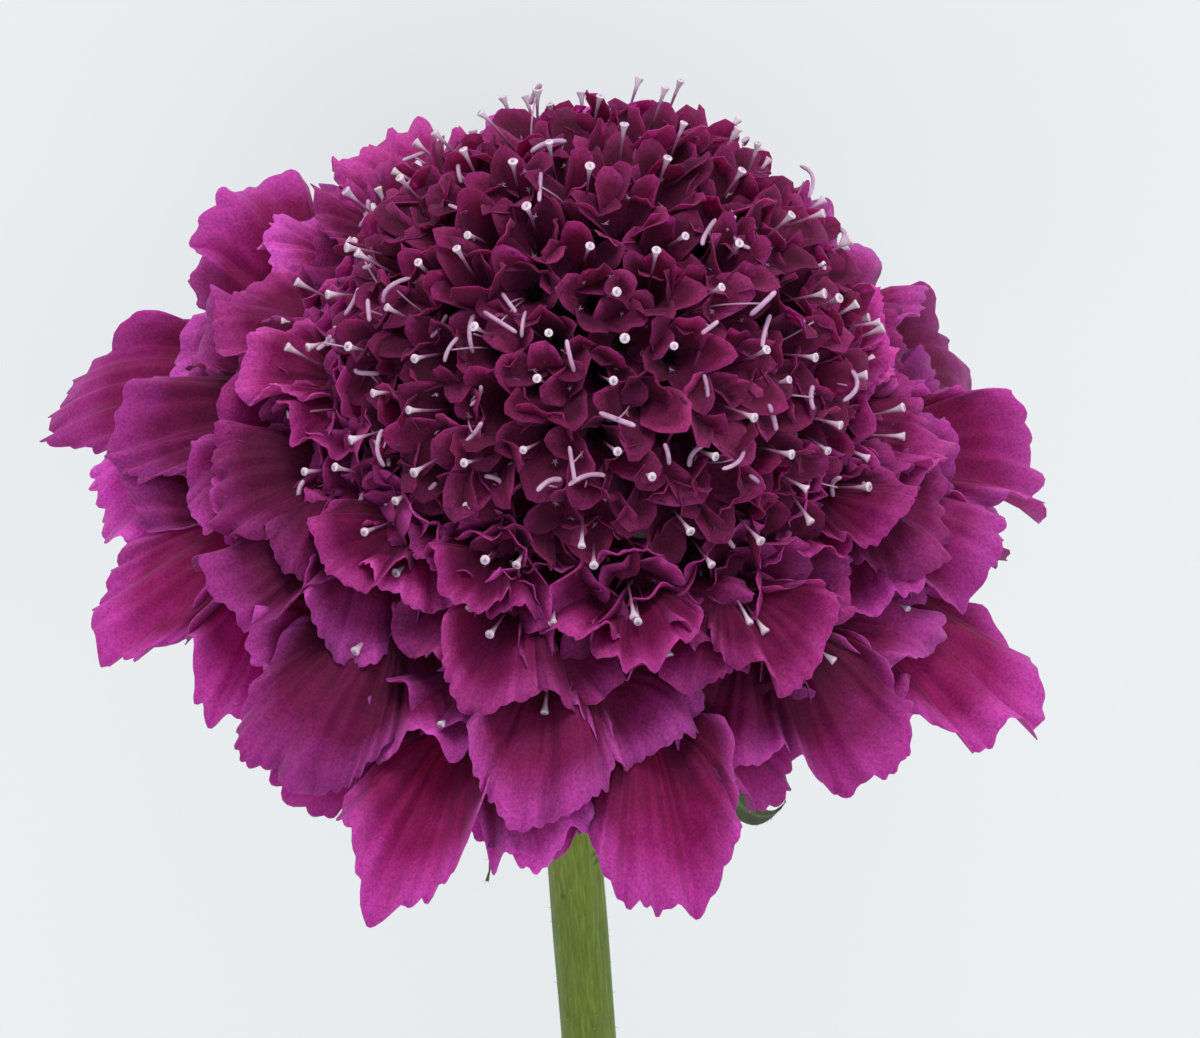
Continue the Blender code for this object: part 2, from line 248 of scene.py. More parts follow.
# The stem's rings and sides, and its cut end, from the rim in
STEM_STEPS = 240
STEM_SIDES = 72
CUT_STEPS = (1, 0.93, 0.8, 0.6, 0.35, 0.02)
CUT_DIP = 0.25 * MM

# How low points are pressed together, and how a mesh's map is laid out
PRESS_HEIGHT = 0.8 * MM
TILE_RANGE = (0.03, 0.97)
SHEET_RANGES = ((0.03, 0.85), (0.88, 0.91), (0.94, 0.97))

# The photograph's size and scale and the pixel where the neck would be, the view and the floor
PHOTO_SIZE = (1200, 1038)
PIXEL = 0.0623 * MM
NECK_PIXEL = (566, 504)
VIEW_FROM_AXIS = math.radians(40)
VIEW_DISTANCE = 400 * MM
FLOOR_DROP = 0.02 * MM

# Colours of the thin pieces
MAROON = (0.035, 0.002, 0.014)
# The tubes' plum is partly their own paler colour, partly painted light that lifts the shaded hollows
# between the florets
TUBE_PLUM_AND_PAINTED_LIGHT = (0.17, 0.035, 0.11)
CORE_GREEN = (0.026, 0.048, 0.016)

# In each petal look, rim is the margin's colour: partly the margin's own paler tone, partly painted
# velvet sheen
RAY_PETAL = dict(
    stops=(
        (0, (0.035, 0.001, 0.012)),
        (0.38, (0.065, 0.002, 0.021)),
        (0.68, (0.115, 0.004, 0.046)),
        (0.98, (0.22, 0.012, 0.13)),
    ),
    rim=(0.37, 0.05, 0.29),
    back=(0.21, 0.03, 0.14),
    veins=0.15,
    sheen=0.1,
)
MIDDLE_PETAL = dict(
    stops=(
        (0, (0.02, 0.001, 0.006)),
        (0.35, (0.05, 0.001, 0.016)),
        (0.7, (0.1, 0.003, 0.04)),
        (1, (0.18, 0.009, 0.095)),
    ),
    rim=(0.33, 0.035, 0.2),
    back=(0.18, 0.018, 0.1),
)
DISC_PETAL = dict(
    stops=(
        # Lighter towards the throat: partly the paler base of the florets, partly painted light that
        # lifts the shaded hollows of the dome
        (0, (0.16, 0.018, 0.085)),
        (0.35, (0.09, 0.006, 0.036)),
        (0.75, (0.058, 0.0035, 0.02)),
        (1, (0.066, 0.0045, 0.026)),
    ),
    # The disc's lighter rim is partly painted sheen, as velvet shows at grazing angles, over the
    # margin's own tone
    rim=(0.17, 0.014, 0.08),
    # The back is lifted a little as well, partly painted light for the shaded hollows
    back=(0.075, 0.006, 0.03),
    shine=0.08,
)


def smooth(x):
    """Rises from 0 to 1 between x = 0 and x = 1, with no slope at either end."""
    x = np.clip(x, 0, 1)
    return x * x * (3 - 2 * x)


def mix(a, b, share):
    return a + (b - a) * share


def unit(v):
    return v / np.linalg.norm(v, axis=-1, keepdims=True)


def drawn_vector(draw, spread):
    return np.array([draw.gauss(0, spread) for _ in range(3)])


# Where the stem and the head are


def stem_rings():
    """The middles of the rings of points round the CAD stem, from the neck to the cut end."""
    points = np.array([vert.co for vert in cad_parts["stem"].data.vertices])
    points = points[points[:, 1].argsort()]
    breaks = np.flatnonzero(np.diff(points[:, 1]) > STEM_RADIUS) + 1
    return np.array([(ring.min(axis=0) + ring.max(axis=0)) / 2 for ring in np.split(points, breaks)])


STEM_RINGS = stem_rings()


def head_place():
    """The matrix that lays the upright head down, with its neck on the stem's end."""
    lean_axis = Vector((0, -math.cos(LEAN_AXIS_TILT), math.sin(LEAN_AXIS_TILT)))
    laid = Matrix.Rotation(math.pi / 2 - NECK_TILT, 4, "X")
    turned = Matrix.Rotation(-HEAD_LEAN, 4, lean_axis) @ laid
    neck = Vector(STEM_RINGS[0]) - turned @ Vector((0, 0, STEM_TOP))
    return Matrix.Translation(neck) @ turned @ Matrix.Rotation(HEAD_ROLL, 4, "Z")


HEAD_PLACE = head_place()
NECK = HEAD_PLACE.translation


# Meshes


def quads(grid):
    """The four corners of each cell of a grid, in the order that turns a face to rows x columns."""
    cells = np.stack([grid[:-1, :-1], grid[1:, :-1], grid[1:, 1:], grid[:-1, 1:]], axis=2)
    return cells.reshape(-1, 4, *grid.shape[2:])


def joined(grid):
    """A grid whose first column is also its last."""
    return np.concatenate([grid, grid[:, :1]], axis=1)


class Surface:
    """Gathers grids of points into one mesh, with values for its material at each point. Each grid
    has a tile of its own in the mesh's map."""

    def __init__(self, name, place=HEAD_PLACE):
        self.name = name
        self.place = np.array(place)
        self.points, self.faces, self.spots, self.tiles = [], [], [], []
        self.values = {}
        self.count = self.tile = 0

    def add_points(self, points, values):
        """Adds a grid of points with their values, and says their numbers."""
        shape = points.shape[:2]
        number = np.arange(shape[0] * shape[1]).reshape(shape) + self.count
        self.points.append(points.reshape(-1, 3))
        for key, value in values.items():
            spread = np.broadcast_to(value, shape)
            self.values.setdefault(key, []).append(spread.ravel())
        self.count += number.size
        return number

    def add_faces(self, number, low, high):
        """Joins a grid of point numbers, mapped between those heights of the tile."""
        rows, columns = number.shape
        across, up = np.meshgrid(np.linspace(*TILE_RANGE, columns), np.linspace(low, high, rows))
        self.faces.append(quads(number))
        self.spots.append(quads(np.stack([across, up], axis=-1)))
        self.tiles.append(np.full(len(self.faces[-1]), self.tile))

    def add_grid(self, points, closed=False, **values):
        """points is rows x columns x 3, and each value a number or rows x columns. A closed grid's
        last column joins its first."""
        number = self.add_points(points, values)
        self.add_faces(joined(number) if closed else number, *TILE_RANGE)
        self.tile += 1

    def add_sheet(self, points, thickness, **values):
        """A thin sheet of two grids back to back, closed all round. Its value under is 1 behind."""
        lift = np.cross(np.gradient(points, axis=0), np.gradient(points, axis=1))
        lift = unit(lift) * np.asarray(thickness)[..., None] / 2
        shape = points.shape[:2]
        doubled = {"under": np.concatenate([np.zeros(shape), np.ones(shape)], axis=1)}
        for key, value in values.items():
            spread = np.broadcast_to(value, shape)
            doubled[key] = np.concatenate([spread, spread[:, ::-1]], axis=1)
        both = np.concatenate([points + lift, (points - lift)[:, ::-1]], axis=1)
        number = self.add_points(both, doubled)
        front, back = number[:, : shape[1]], number[:, shape[1] :][:, ::-1]
        ends = (np.stack([front[-1], back[-1]]), np.stack([back[0], front[0]]))
        for grid, (low, high) in zip((joined(number), *ends), SHEET_RANGES):
            self.add_faces(grid, low, high)
        self.tile += 1

    def make(self, node, slot, material):
        """Makes the mesh, which stands in for that node of the CAD. Points near the surface or under
        it are pressed together above it."""
        points = np.concatenate(self.points) @ self.place[:3, :3].T + self.place[:3, 3]
        low = points[:, 2] < PRESS_HEIGHT
        points[low, 2] = PRESS_HEIGHT * np.exp(points[low, 2] / PRESS_HEIGHT - 1)
        mesh = bpy.data.meshes.new(self.name)
        mesh.from_pydata(points.tolist(), [], np.concatenate(self.faces).tolist())
        for key, parts in self.values.items():
            values = mesh.attributes.new(key, "FLOAT", "POINT")
            values.data.foreach_set("value", np.concatenate(parts).astype(float))
        wide = math.ceil(math.sqrt(self.tile))
        tiles = np.concatenate(self.tiles)
        corner = np.stack([tiles % wide, tiles // wide], axis=-1)
        spots = (np.concatenate(self.spots) + corner[:, None]) / wide
        mesh.uv_layers.new(name="OFBake").data.foreach_set("uv", spots.ravel())
        mesh.polygons.foreach_set("use_smooth", [True] * len(mesh.polygons))
        mesh.materials.append(material)
        made = bpy.data.objects.new(self.name, mesh)
        bpy.context.scene.collection.objects.link(made)
        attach(made, "root")
        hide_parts(node)


def ring_turns(sides):
    return np.linspace(0, 2 * math.pi, sides, endpoint=False)


def tube_grid(path, radii, sides):
    """Rings of points round a path of points. radii is a number for each ring, or for each point."""
    path = np.asarray(path, dtype=float)
    ways = unit(np.gradient(path, axis=0))
    ahead = unit(path[-1] - path[0])
    steep = abs(ahead[2]) >= 0.8
    guide = np.array((1.0, 0, 0)) if steep else np.array((0, 0, 1.0))
    first = unit(np.cross(ways, guide))
    second = np.cross(first, ways)
    turn = ring_turns(sides)[None, :, None]
    ring = np.cos(turn) * first[:, None] + np.sin(turn) * second[:, None]
    radii = np.asarray(radii, dtype=float)
    return path[:, None] + ring * (radii if radii.ndim == 2 else radii[:, None])[..., None]


def rounded_ends(steps):
    """Shares of a bar's radius along it, for a bar that is round over a tenth of it at each end."""
    near = np.minimum(steps, 1 - steps) / 0.1
    return np.sqrt(np.clip(1 - np.clip(1 - near, 0, 1) ** 2, 0.0004, 1))


# Florets


def place_in(kind, share):
    """The elevation, radius and height of the floret at that share of its kind's row."""
    angle = math.radians(mix(*kind.elevations, share))
    return angle, mix(*kind.radii, share) * MM, mix(*kind.heights, share) * MM


def stand(index, turn, elevation, radius, height, draw=None, tilt=0):
    """A floret with its throat at that place and its axis at that elevation, give or take tilt. It
    has no lobes yet."""
    level = np.array((math.cos(turn), math.sin(turn), 0))
    axis = level * math.cos(elevation) + np.array((0, 0, math.sin(elevation)))
    away = level * math.sin(elevation) - np.array((0, 0, math.cos(elevation)))
    side = np.cross(axis, away)
    if tilt:
        axis = unit(axis + away * draw.gauss(0, tilt) + side * draw.gauss(0, tilt))
        away = unit(away - axis * (away @ axis))
        side = np.cross(axis, away)
    plant = SimpleNamespace(index=index, radius=radius, styled=True, lobes=[])
    plant.level, plant.tangent = level, np.array((-level[1], level[0], 0))
    plant.throat = level * radius + np.array((0, 0, height))
    plant.axis, plant.away, plant.side = axis, away, side
    return plant


def outwards(plant, around):
    """The way out of a floret's axis at that turn, 0 being away from the head's apex."""
    return plant.away * math.cos(around) + plant.side * math.sin(around)


def broad_lobe(number, draw):
    """A ray's or a second floret's lobe, which has no size yet."""
    around = LOBE_TURNS[number] + draw.uniform(-0.1, 0.1)
    return SimpleNamespace(number=number, around=around, wide=number in WIDE_LOBES, **BROAD_FORM)


def size_wide_lobe(lobe, kind, share, draw):
    """Draws a wide lobe's length, width and lean. The two at the sides are the smaller ones."""
    centre = lobe.number == 0
    long, wide = mix(*kind.lengths, share), mix(*kind.widths, share)
    lobe.length = long * (1 if centre else SIDE_LENGTH) * MM * draw.uniform(*kind.length_draw)
    lobe.width = wide * (1 if centre else kind.side_width) * MM * draw.uniform(*kind.width_draw)
    lobe.lean = WIDE_LOBES[lobe.number] + draw.uniform(-kind.lean_draw, kind.lean_draw)


def draw_folds(lobe, kind, draw):
    lobe.sides = [draw.gauss(*kind.curls) for _ in range(2)]
    lobe.swell = draw.uniform(*kind.swells)
    lobe.ruffle = draw.uniform(*kind.ruffles)


def ray_floret(number):
    """A ray floret as the CAD draws it, with the same draws in the same order, and then its folds."""
    index = FIRST_RAY + number
    draw = random.Random(HEAD_SEED + index)
    turn = index * GOLDEN_ANGLE + draw.uniform(-TURN_JITTER, TURN_JITTER)
    share = (number + 0.5) / RAYS.count
    plant = stand(index, turn, *place_in(RAYS, share))
    plant.bell = share
    plant.style = draw.uniform(*RAYS.styles) * MM
    plant.root = mix(*RAYS.roots, share) * MM
    for number in range(5):
        lobe = broad_lobe(number, draw)
        lobe.length = RAYS.small_length * MM * draw.uniform(0.9, 1.08)
        lobe.width = RAYS.small_width * MM * draw.uniform(0.92, 1.08)
        flare = math.radians(RAYS.small_flare + draw.uniform(-5, 5))
        if lobe.wide:
            size_wide_lobe(lobe, RAYS, share, draw)
        else:
            lobe.angles = (0.2, flare, flare + 0.5)
        plant.lobes.append(lobe)
    folds = random.Random(HEAD_SEED * 7 + index)
    for lobe in plant.lobes:
        draw_folds(lobe, RAYS, folds)
        if lobe.wide:
            tip = np.clip(folds.gauss(*RAYS.tips), *RAYS.tip_limits)
            lobe.angles = (0, *(folds.gauss(*bend) for bend in RAYS.bends), tip)
            lobe.width *= RAYS.widened
            if folds.random() < RAYS.rolled_share:
                curl = folds.choice((-1, 1, 1)) * folds.uniform(*RAYS.rolled_curls)
                lobe.sides[folds.randrange(2)] = curl
    return plant


def second_floret(number):
    """A floret between the middle ones and the rays, with three wide lobes of middling size."""
    draw = random.Random(SECONDS.seed + number)
    share = (number + 0.5) / SECONDS.count
    jitter = draw.uniform(-SECONDS.turn_jitter, SECONDS.turn_jitter)
    turn = (FIRST_RAY - 3 - number) * GOLDEN_ANGLE + jitter
    elevation, radius, height = place_in(SECONDS, share)
    elevation += draw.gauss(0, SECONDS.elevation_jitter)
    plant = stand(number + SECONDS.first_index, turn, elevation, radius, height)
    plant.bell = mix(*SECONDS.bells, share)
    plant.style = draw.uniform(*SECONDS.styles) * MM
    plant.root = SECONDS.root * MM
    for number in range(5):
        lobe = broad_lobe(number, draw)
        draw_folds(lobe, SECONDS, draw)
        if lobe.wide:
            size_wide_lobe(lobe, SECONDS, share, draw)
            bends = [draw.gauss(*bend) for bend in SECONDS.bends]
            lobe.angles = (0, *bends, np.clip(draw.gauss(*SECONDS.tips), *SECONDS.tip_limits))
        else:
            lobe.length = draw.uniform(*SECONDS.small_lengths) * MM
            lobe.width = draw.uniform(*SECONDS.small_widths) * MM
            lobe.angles = (0.15, 0.4, draw.gauss(0.9, 0.25))
        plant.lobes.append(lobe)
    return plant


def small_lobes(plant, kind, grow, draw):
    """Five lobes that stand round a floret's mouth. Those on its outer side are the larger and the
    more flared, and grow takes these from the kind's first floret to its last."""
    spin = draw.uniform(-0.3, 0.3)
    lengths, widths, flares = ((a, mix(*b, grow)) for a, b in zip(kind.inner, kind.outer))
    for around in LOBE_TURNS:
        outer = (1 + math.cos(around)) / 2
        flare = mix(*flares, outer) + draw.gauss(0, 7)
        plant.lobes.append(
            SimpleNamespace(
                around=around + spin + draw.uniform(-0.14, 0.14),
                length=mix(*lengths, outer) * MM * draw.uniform(0.8, 1.15),
                width=mix(*widths, outer) * MM * draw.uniform(0.88, 1.12),
                angles=np.radians((8, flare * 0.6, flare, flare + draw.gauss(14, 24))),
                sides=[draw.gauss(kind.cup, 0.5 * kind.cup) for _ in range(2)],
                blunt=kind.blunt,
                **SMALL_FORM,
            )
        )


def disc_floret(number):
    """A floret of the dome. Some have no style."""
    draw = random.Random(DISCS.seed + number)
    turn = number * GOLDEN_ANGLE + draw.uniform(-TURN_JITTER, TURN_JITTER)
    polar = math.acos(1 - (number + 0.5) / DISCS.count) + draw.gauss(0, DISCS.polar_jitter)
    elevation = math.pi / 2 - polar
    radius = DOME_RADIUS * math.sin(polar)
    height = WAIST_HEIGHT + DOME_RADIUS * math.cos(polar)
    plant = stand(number, turn, elevation, radius, height, draw, DISCS.tilt)
    plant.throat = plant.throat + plant.axis * draw.uniform(*DISCS.sinks) * MM
    plant.styled = number % DISCS.bare_every != 0
    plant.style = draw.uniform(*DISCS.styles) * MM
    plant.root = DISCS.root * MM
    small_lobes(plant, DISCS, (polar / (math.pi / 2)) ** 3, draw)
    return plant


def middle_floret(number):
    """A floret at the dome's foot."""
    draw = random.Random(MIDDLES.seed + number)
    share = (number + 0.5) / MIDDLES.count
    turn = (DISCS.count + number) * GOLDEN_ANGLE + draw.uniform(-TURN_JITTER, TURN_JITTER)
    plant = stand(number, turn, *place_in(MIDDLES, share), draw, MIDDLES.tilt)
    plant.style = draw.uniform(*MIDDLES.styles) * MM
    plant.root = MIDDLES.root * MM
    small_lobes(plant, MIDDLES, share, draw)
    return plant


def bell_height(bell, start, radius):
    """Height of the bell that a floret's wide lobes lie on, start being its throat's radius. bell
    goes from 0 for the first ray's to 1 for the last's."""
    first = math.tan(math.radians(mix(*BELL_STARTS, bell)))
    last = math.tan(math.radians(mix(*BELL_ENDS, bell)))
    run = radius - start
    return run * first + (last - first) * run * run / (2 * (BELL_REACH - start))


def ripple(draw, turn, waves):
    """A sum of sines along turn, each (waves in a full turn, height), with drawn phases."""
    return sum(h * np.sin(turn * n + draw.uniform(0, 2 * math.pi)) for n, h in waves)


def outline(lobe, draw, columns, rows, scallops):
    """A lobe laid flat, as grids: how far along it and across it each point is, its ring and its
    turn. Rings grow from the lobe's foot to its margin, whose scallops are (how many, how deep). The
    lobe's full power widens its outer end when it is under 1, and its blunt power squares it."""
    turn = np.linspace(-LOBE_END, LOBE_END, columns)[None, :]
    ring = np.linspace(0.08, 1, rows)[:, None] ** 0.75
    count, depth = scallops
    drift = turn * count / 2 + ripple(draw, turn, ((1.7, 1.2), (4.3, 0.7)))
    uneven = 1 + ripple(draw, turn, ((3.1, 0.4), (5.9, 0.4)))
    margin = ripple(draw, turn, ((2.3, 0.022), (4.4, 0.02), (8.3, 0.014)))
    margin = margin - depth * uneven * (1 - np.abs(np.sin(drift)))
    margin = margin * ring**5
    ahead, aside = (np.sign(v) * np.abs(v) ** lobe.blunt for v in (np.cos(turn), np.sin(turn)))
    grown = ring * (1 + margin * lobe.width / lobe.length)
    along = np.maximum(grown * ((1 + ahead) / 2) ** lobe.full, 0)
    claw = mix(CLAW_SHARE, 1, smooth(along / CLAW_END))
    offset = ring * (1 + margin) * aside * lobe.width / 2 * claw
    return along, offset, ring + 0 * turn, turn + 0 * ring


def follow(share, angles):
    """Walks a line of length 1 whose angle passes evenly through the given ones. Says how far it has
    come ahead and aside, and its angle, at each share of it."""
    steps = np.linspace(0, 1, 49)
    angle = np.interp(steps, np.linspace(0, 1, len(angles)), angles)
    middle = (angle[1:] + angle[:-1]) / 2
    moves = (np.cos(middle), np.sin(middle))
    ahead, aside = (np.concatenate([[0], np.cumsum(move)]) / len(middle) for move in moves)
    return [np.interp(share, steps, values) for values in (ahead, aside, angle)]


def lobe_points(lobe, draw, flat, foot, ahead, out, reach):
    """Bends a flat lobe. It leaves its foot along ahead, turns towards out by the lobe's angles, and
    its sides curl up by the lobe's sides, in radians a metre."""
    along, offset, ring, turn = flat
    forward, outward, angle = (v[..., None] for v in follow(along, lobe.angles))
    curl = np.where(offset < 0, lobe.sides[0], lobe.sides[1]) * smooth(along / 0.45)
    curl = np.where(np.abs(curl) < 1, 1, curl)
    up = (1 - np.cos(curl * offset)) / curl
    swell = ripple(draw, turn, ((3.3, 1), (6.1, 1))) * ring**2.5
    ruffle = ripple(draw, turn, ((9.3, 1), (13.1, 1), (17.3, 0.5))) * ring**6
    crease = ripple(draw, turn, ((19, 1), (25, 0.8), (13, 1))) * ring
    up += lobe.width * (lobe.swell * swell + lobe.ruffle * ruffle + lobe.crease * crease)
    midrib = np.exp(-((offset / (0.06 * lobe.width)) ** 2))
    up -= 0.035 * lobe.width * midrib * smooth(along * 2) * (1 - along)
    face = ahead * np.sin(angle) - out * np.cos(angle)
    across = (np.sin(curl * offset) / curl)[..., None] * np.cross(ahead, out)
    walked = (ahead * forward + out * outward) * lobe.length * reach
    return foot + walked + across + face * up[..., None]


def wide_lobe(plant, lobe, draw, columns, rows):
    """A wide lobe, draped on its floret's bell."""
    flat = outline(lobe, draw, columns, rows, WIDE_SCALLOPS)
    along = flat[0]
    forward = plant.level * math.cos(lobe.lean) + plant.tangent * math.sin(lobe.lean)
    down = np.array((0, 0, -1.0))
    points = lobe_points(lobe, draw, flat, plant.throat, forward, down, ROUND_TIP)
    radius = np.hypot(points[..., 0], points[..., 1])
    around = np.arctan2(points[..., 1], points[..., 0])
    wave = np.sin(WAVES_ROUND * around + WAVE_DRIFT * plant.index)
    points[..., 2] += bell_height(plant.bell, plant.radius, radius)
    points[..., 2] += WAVE_HEIGHT * wave * smooth((radius - plant.radius) / WAVE_START)
    points[..., 2] += LOBE_LIFTS[lobe.number] * MM * smooth(along / 0.5)
    near = np.linalg.norm(points - plant.throat, axis=-1)
    points[..., 2] -= THROAT_DEPTH * (1 - smooth(near / WIDE_FOOT))
    return points, flat


def standing_lobe(plant, lobe, draw, columns, rows):
    """A lobe that stands round the mouth."""
    flat = outline(lobe, draw, columns, rows, SMALL_SCALLOPS)
    out = outwards(plant, lobe.around)
    foot = plant.throat - plant.axis * THROAT_DEPTH + out * SMALL_FOOT
    reach = 1 + THROAT_DEPTH / lobe.length
    return lobe_points(lobe, draw, flat, foot, plant.axis, out, reach), flat


def add_lobes(surface, plant, draw, grids):
    """Adds a floret's lobes. grids says the columns and rows of its wide and its small ones."""
    for lobe in plant.lobes:
        make, size = (wide_lobe, "wide") if lobe.wide else (standing_lobe, "small")
        points, (along, offset, ring, turn) = make(plant, lobe, draw, *grids[size])
        thickness = PETAL_THICKNESS * (1 - MARGIN_THINNING * ring)
        across, tone = turn / math.pi, draw.random()
        surface.add_sheet(points, thickness, along=along, rim=ring, across=across, tone=tone)


def floret_tube(plant):
    """The outside of a floret's funnel, from inside the core to just under its mouth."""
    steps = np.linspace(0, 1, 6)
    path = plant.throat + plant.axis * mix(-plant.root, -0.3 * MM, steps)[:, None]
    return tube_grid(path, mix(*TUBE_RADII, steps**2) * MM, 10)


def style_grid(plant, draw):
    """A style, bent a little, that ends in a round flat-topped stigma."""
    start = plant.throat - plant.axis * THROAT_DEPTH
    length = plant.style + THROAT_DEPTH
    bend = plant.away * draw.gauss(0, STYLE_BEND) + plant.side * draw.gauss(0, STYLE_BEND)
    bend = bend * length
    shares = np.array(STYLE_STEPS)
    stigma = draw.uniform(*STIGMA_RADII) * np.array(STIGMA_FORM)
    path = start + plant.axis * (length * shares)[:, None] + bend * (shares**2)[:, None]
    return tube_grid(path, np.concatenate([STALK_RADII, stigma]) * MM, 10), shares


def add_stamen(plant, draw, filaments, anthers):
    """A thin filament that leans out of a floret's mouth, with its anther lying across its end."""
    out = outwards(plant, draw.uniform(0, 2 * math.pi))
    steps = np.linspace(0, 1, 9)[:, None]
    reach = draw.uniform(*FILAMENT_REACHES) * MM
    lean = draw.uniform(*FILAMENT_LEANS)
    path = plant.throat + out * 0.7 * MM + plant.axis * reach * steps
    path = path + out * reach * lean * steps**2
    radii = np.full(len(steps), FILAMENT_RADIUS)
    filaments.add_grid(tube_grid(path, radii, 5), closed=True, along=steps)
    across = np.cross(plant.axis, out) + out * draw.gauss(0, 0.9)
    across = unit(across + plant.axis * draw.gauss(0, 0.25))
    length = draw.uniform(*ANTHER_LENGTHS) * MM
    bend = draw.uniform(-0.3, 0.3) * length
    steps = np.sin(np.linspace(-math.pi / 2, math.pi / 2, 11))[:, None]
    path = path[-1] + across * steps * length / 2 + plant.axis * bend * (1 - steps**2)
    radii = draw.uniform(*ANTHER_RADII) * MM * rounded_ends((steps[:, 0] + 1) / 2)
    grid = tube_grid(path, radii, 9)
    anthers.add_grid(grid, closed=True, along=(steps + 1) / 2, tone=draw.random())


def add_hair(surface, draw, root, way, lengths, bend=HAIR_BEND, radius=FINE_HAIR_RADIUS):
    """A tapered hair that leaves root along way and bends at random by about bend."""
    aside = drawn_vector(draw, bend) * MM
    length = draw.uniform(*lengths) * MM
    steps = np.linspace(0, 1, 4)[:, None]
    path = root + way * length * steps + aside * steps**2
    radii = radius * (1 - 0.93 * steps[:, 0])
    surface.add_grid(tube_grid(path, radii, 3), closed=True, along=steps)


def add_tufts(plant, draw, hairs):
    """Small clumps of pale hairs in some of the notches between a floret's lobes."""
    for lobe in plant.lobes:
        if draw.random() < TUFT_CHANCE:
            out = outwards(plant, lobe.around + LOBE_TURNS[1] / 2)
            rise = draw.uniform(*TUFT_HEIGHTS)
            place = plant.throat + out * TUFT_RADIUS * MM + plant.axis * rise * MM
            for _ in range(draw.randint(*TUFT_HAIRS)):
                way = unit(drawn_vector(draw, 1) + plant.axis * 0.5)
                add_hair(hairs, draw, place, way, TUFT_HAIR_LENGTHS, radius=TUFT_HAIR_RADIUS)


# Materials


class Finish:
    """A material made of a Principled shader and the nodes before it."""

    def __init__(self, name):
        self.material = bpy.data.materials.new(name)
        self.material.use_nodes = True
        self.tree = self.material.node_tree
        self.shader = self.tree.nodes["Principled BSDF"]

    def node(self, kind, inputs=None, **settings):
        made = self.tree.nodes.new(kind)
        for key, value in settings.items():
            setattr(made, key, value)
        for key, value in (inputs or {}).items():
            self.feed(made, key, value)
        return made

    def feed(self, node, key, value):
        """Sets an input, or links it to the socket that value is."""
        if isinstance(value, bpy.types.NodeSocket):
            self.tree.links.new(value, node.inputs[key])
        else:
            node.inputs[key].default_value = value

    def set(self, **values):
        """Feeds the shader. A name's underscores stand for the blanks in the input's."""
        for key, value in values.items():
            self.feed(self.shader, key.replace("_", " "), value)

    def value(self, name):
        """One of the values that the mesh has at each point."""
        return self.node("ShaderNodeAttribute", attribute_name=name).outputs["Fac"]

    def place(self):
        return self.node("ShaderNodeTexCoord").outputs["Object"]

    def maths(self, operation, a, b=0):
        return self.node("ShaderNodeMath", {0: a, 1: b}, operation=operation).outputs[0]

    def plus(self, a, b):
        return self.maths("ADD", a, b)

    def times(self, a, b):
        return self.maths("MULTIPLY", a, b)

    def ramp(self, factor, stops):
        """A colour that goes through the stops, each (factor, colour)."""
        made = self.node("ShaderNodeValToRGB", {"Fac": factor})
        elements = made.color_ramp.elements
        while len(elements) < len(stops):
            elements.new(0.5)
        for element, (place, colour) in zip(elements, stops):
            element.position = place
            element.color = (*colour, 1)
        return made.outputs["Color"]

    def fade(self, factor, start, end, most=1):
        """Rises from 0 to most as factor goes from start to end."""
        inputs = {"Value": factor, "From Min": start, "From Max": end, "To Max": most}
        return self.node("ShaderNodeMapRange", inputs).outputs["Result"]

    def blend(self, factor, a, b, blend_type="MIX"):
        made = self.node("ShaderNodeMix", data_type="RGBA", blend_type=blend_type)
        self.feed(made, 0, factor)
        self.feed(made, 6, a)
        self.feed(made, 7, b)
        return made.outputs[2]

    def tinted(self, colour, tint):
        return self.blend(1, colour, tint, "MULTIPLY")

    def noise(self, scale, detail=3, vector=None, roughness=0.5):
        vector = vector or self.place()
        inputs = {"Scale": scale, "Detail": detail, "Roughness": roughness, "Vector": vector}
        return self.node("ShaderNodeTexNoise", inputs).outputs["Fac"]

    def vector(self, *parts):
        return self.node("ShaderNodeCombineXYZ", dict(enumerate(parts))).outputs[0]

    def bump(self, height, strength, distance):
        inputs = {"Height": height, "Strength": strength, "Distance": distance}
        return self.node("ShaderNodeBump", inputs).outputs[0]


